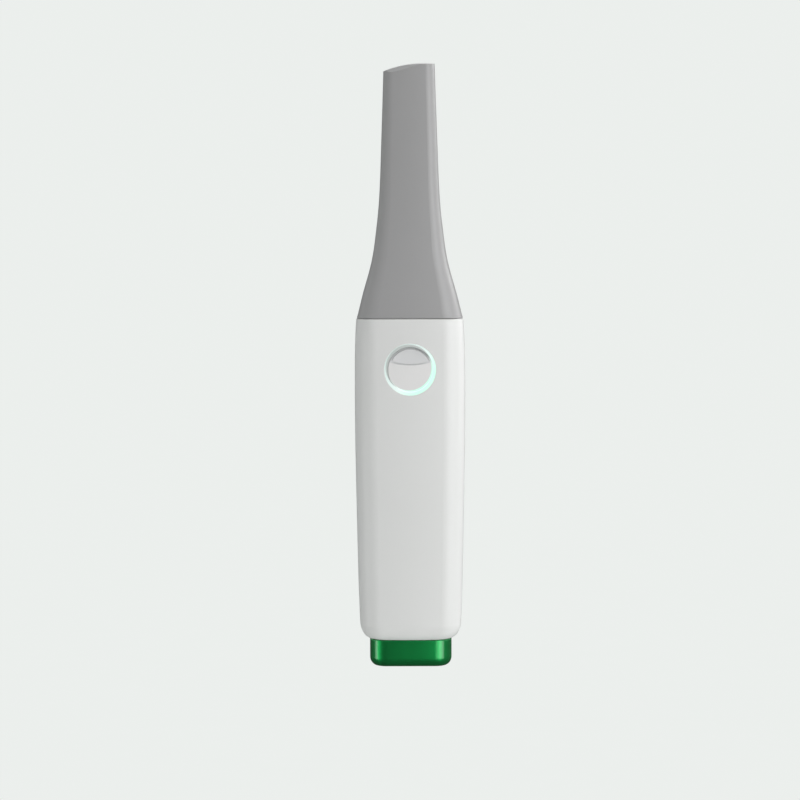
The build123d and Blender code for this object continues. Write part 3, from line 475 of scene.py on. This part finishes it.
def ring_glow_and_painted_light(tree, shader, colour, radius, spill):
    """Light the part of a surface that lies outside a disc set off from the ring's centre: the
    ring's own glow with painted shade inside the disc, or a painted glow on a part that is no
    lamp.
    """
    rim = tree.place(disc_rim, Centre=ring_centre + RING_GLOW_SHIFT, Radius=radius,
                     Softness=RING_SOFTNESS)
    mint = tree.remap(rim["Slant"], RING_MINT_FROM, RING_MINT_FULL)
    even = tree.remap(rim["Slant"], RING_DIM_FROM, RING_DIM_UP_TO, RING_DIM_SHARE, 1.0)
    lit = tree.maths("MAXIMUM", tree.maths("MULTIPLY", rim["Outside"], even), spill)
    glow = tree.mix_colour(mint, RING_PALE, RING_MINT)
    tree.fill(
        shader,
        Base_Color=tree.mix_colour(rim["Outside"], colour, RING_BASE),
        Emission_Color=tree.mix_colour(lit, UNLIT, glow),
        Emission_Strength=RING_STRENGTH,
    )


def glow_ring():
    """The lit diffuser: mint and strongest at the lower right, pale at the upper left, where its
    inner part is left unlit as painted shade.
    """
    material, tree, shader = new_finish("lit_diffuser")
    drifted = tree.place(colour_drift, Colour=DIFFUSER_COLOUR)
    ring_glow_and_painted_light(tree, shader, drifted["Colour"], RING_DISC, RING_SPILL)
    tree.fill(shader, Roughness=0.3, Normal=tree.place(moulded_grain, Depth=0.03)["Normal"])
    return material


def gloss_button():
    """The push button: gloss white, with painted shade in the finger scoop, and a painted glow
    from the ring on its rim.
    """
    material, tree, shader = new_finish("gloss_white")
    worn = worn_colour(tree, BUTTON_WHITE, BUTTON_WORN, drift=0.04, fleck=0.01)
    scoop_centre = ring_centre + Vector((0.0, 0.0, SCOOP_RISE + SCOOP_RADIUS))
    scoop = tree.place(disc_rim, Centre=scoop_centre, Radius=SCOOP_RADIUS,
                       Softness=SCOOP_SOFTNESS)
    # Painted shade: the finger scoop in the button's upper part is coloured darker.
    shaded = tree.mix_colour(scoop["Outside"], SCOOP_PAINTED_SHADE, worn)
    # A painted glow on the button's rim, where the ring's light would fall on it.
    ring_glow_and_painted_light(tree, shader, shaded, BUTTON_DISC, spill=0.0)
    tree.fill(
        shader,
        Roughness=tree.place(handling, Roughness=0.16, Amount=0.06, Streak=0.03)["Roughness"],
        Normal=tree.place(moulded_grain, Depth=0.015)["Normal"],
        Coat_Weight=0.4,
        Coat_Roughness=0.08,
    )
    return material


def anodised_green():
    """Green anodised metal under a clear seal, with fine turning lines round the cap. The
    normals under the seal are bowed, so that the wide faces catch a broad soft highlight."""
    material, tree, shader = new_finish("anodised_green")
    here = tree.here()
    lines = tree.drawn_noise(here, TURNING_LINES, detail=3.0)
    turned = tree.bump(lines, TURNING_STRENGTH, TURNING_RELIEF, tree.round_edges(CAP_EDGE))
    sideways = tree.maths("ABSOLUTE", tree.split(here)["X"])
    fall = tree.maths("MULTIPLY", tree.maths("POWER", sideways, CAP_BOW_POWER), CAP_BOW)
    tree.fill(
        shader,
        Base_Color=worn_colour(tree, CAP_GREEN, CAP_WORN, drift=0.1, fleck=0.06,
                               Width=0.0003, Gain=4.0),
        Roughness=tree.place(handling, Roughness=0.40, Amount=0.05, Streak=0.04)["Roughness"],
        Normal=tree.bump(fall, strength=1.0, distance=1.0, normal=turned),
        Metallic=0.86,
        Coat_Weight=1.0,
        Coat_Roughness=0.18,
    )
    return material


def finish_nodes():
    """Every carried-over piece gets the finish of its record slot. A plastic or metal is given
    by its name, colour and roughness, and then what else differs."""
    finishes = {
        "body_white": plastic("satin_white", HANDLE_WHITE, 0.42, depth=0.05, coat=0.05,
                              coat_roughness=0.3, subsurface=0.05),
        "sleeve_grey": plastic("satin_grey", SLEEVE_GREY, 0.45, depth=0.09, drift=0.05, coat=0.3,
                               coat_roughness=0.3, painted_light=painted_light_on_end),
        "button_white": gloss_button(),
        "ring_glow": glow_ring(),
        "cap_green": anodised_green(),
        "dark_plastic": plastic("frame_black", (0.045, 0.045, 0.05), 0.5, depth=0.15),
        "nose_grey": plastic("nose_black", (0.075, 0.075, 0.08), 0.45, depth=0.12),
        "screw_steel": metal("plated_steel", (0.55, 0.55, 0.56), 0.28),
        "contact_gold": metal("gold_plate", (0.85, 0.60, 0.22), 0.2),
        "board_green": plastic("solder_mask", (0.02, 0.15, 0.075), 0.3, depth=0.1, coat=0.5),
        "switch_metal": metal("tinned_steel", (0.6, 0.6, 0.6), 0.35),
        "lamp_white": plastic("lamp_resin", (0.85, 0.85, 0.78), 0.15, depth=0.0, coat=0.5),
        "chip_black": plastic("chip_resin", (0.025, 0.025, 0.025), 0.4, depth=0.2),
        "bare_aluminium": metal("machined_aluminium", (0.74, 0.74, 0.75), 0.32),
        "socket_plastic": plastic("socket_resin", (0.12, 0.12, 0.12), 0.45, depth=0.1),
        "ribbon_amber": plastic("ribbon_film", (0.45, 0.2, 0.04), 0.3, depth=0.02, coat=0.4),
        "seal_rubber": plastic("seal_rubber", (0.03, 0.03, 0.03), 0.7, depth=0.2),
        "optic_glass": glass("optic_glass", (0.93, 0.97, 1.0)),
        "barrel_black": metal("black_anodised", (0.04, 0.04, 0.045), 0.4),
        "mirror_glass": metal("mirror_silver", (0.88, 0.89, 0.9), 0.02, depth=0.0),
        "pack_black": plastic("pack_black", (0.06, 0.06, 0.065), 0.48, depth=0.14),
    }
    for row in frame["record"]["subparts"]:
        piece = nodes[row["node"]]
        piece.data.materials.clear()
        piece.data.materials.append(finishes[row["material_slot"]])


def studio_paper():
    """The floor's paper: the camera sees it pale, a little shaded below the scanner and in the
    room's colour far off. It is dark to reflections, and where the cloth lies."""
    material, tree = new_material("studio_paper")
    paper = tree.place(colour_drift, Colour=STUDIO_COLOUR, Drift=0.006, Fleck=0.0)["Colour"]
    glow = tree.add("ShaderNodeEmission")
    tree.fill(glow, Color=paper)
    here = tree.here()
    away = tree.vector_maths("LENGTH", here)
    plain = tree.remap(away, FLOOR_SHADED, FLOOR_FADED, 1.0 - FLOOR_SHADE, 1.0)
    rays = tree.add("ShaderNodeLightPath").outputs
    seen = tree.seen_directly(rays)
    bare = tree.remap(tree.split(here)["Y"], CLOTH_END, CLOTH_START)
    dull = tree.maths("SUBTRACT", bare, rays["Is Glossy Ray"], clamp=True)
    pale = tree.maths("MAXIMUM", seen, dull)
    dark = tuple(part * CLOTH_SHADE for part in STUDIO_COLOUR)
    shader = tree.add("ShaderNodeBsdfPrincipled")
    tree.fill(shader, Base_Color=tree.mix_colour(pale, dark, paper), Roughness=0.9)
    tree.end("ShaderNodeOutputMaterial", tree.maths("MULTIPLY", seen, plain),
             shader.outputs["BSDF"], glow.outputs["Emission"])
    return material


def studio_floor():
    """A wide level floor."""
    deselect()
    bpy.ops.mesh.primitive_plane_add(size=FLOOR_WIDTH, location=(0.0, 0.0, FLOOR_Z))
    floor = bpy.context.object
    floor.name = "studio_floor"
    floor.data.materials.append(studio_paper())


def studio_room():
    """A soft room, dark before and behind the scanner. The camera sees the floor's colour."""
    world = bpy.data.worlds.new("studio_room")
    world.use_nodes = True
    world.node_tree.nodes.clear()
    bpy.context.scene.world = world
    tree = Tree(world.node_tree)
    way = tree.add("ShaderNodeTexCoord").outputs["Generated"]
    ahead = tree.maths("ABSOLUTE", tree.vector_maths("DOT_PRODUCT", way, FORWARD))
    strength = tree.remap(ahead, DARK_FROM, DARK_FULL, ROOM_STRENGTH, DARK_STRENGTH)
    room = tree.add("ShaderNodeBackground")
    tree.fill(room, Color=ROOM_COLOUR, Strength=strength)
    backdrop = tree.add("ShaderNodeBackground")
    tree.fill(backdrop, Color=STUDIO_COLOUR)
    seen = tree.seen_directly(tree.add("ShaderNodeLightPath").outputs)
    tree.end("ShaderNodeOutputWorld", seen, room.outputs["Background"],
             backdrop.outputs["Background"])


def softbox(name, place, target, width, height, power):
    """A rectangular area lamp that faces a target."""
    lamp = bpy.data.lights.new(name, "AREA")
    lamp.shape = "RECTANGLE"
    lamp.size = width
    lamp.size_y = height
    lamp.energy = power
    holder = bpy.data.objects.new(name, lamp)
    bpy.context.scene.collection.objects.link(holder)
    holder.location = place
    holder.rotation_euler = (Vector(target) - Vector(place)).to_track_quat("-Z", "Y").to_euler()


def studio_light():
    """A broad soft light from the right front, with smaller ones at the sides, the front, the
    rear right and the top."""
    for lamp in LAMPS:
        softbox(*lamp)


def camera_view():
    """The camera of the photograph."""
    data = bpy.data.cameras.new("photo_camera")
    data.lens = LENS_MM
    data.sensor_width = SENSOR_MM
    camera = bpy.data.objects.new("photo_camera", data)
    bpy.context.scene.collection.objects.link(camera)
    tilt = radians(CAMERA_ELEVATION)
    camera.location = AIM + CAMERA_DISTANCE * Vector((0.0, -cos(tilt), sin(tilt)))
    camera.rotation_euler = (radians(90) - tilt, radians(CAMERA_ROLL), 0.0)
    bpy.context.scene.camera = camera


camera_view()
studio_floor()
studio_room()
studio_light()
finish_nodes()
bpy.context.scene.view_settings.view_transform = "Standard"
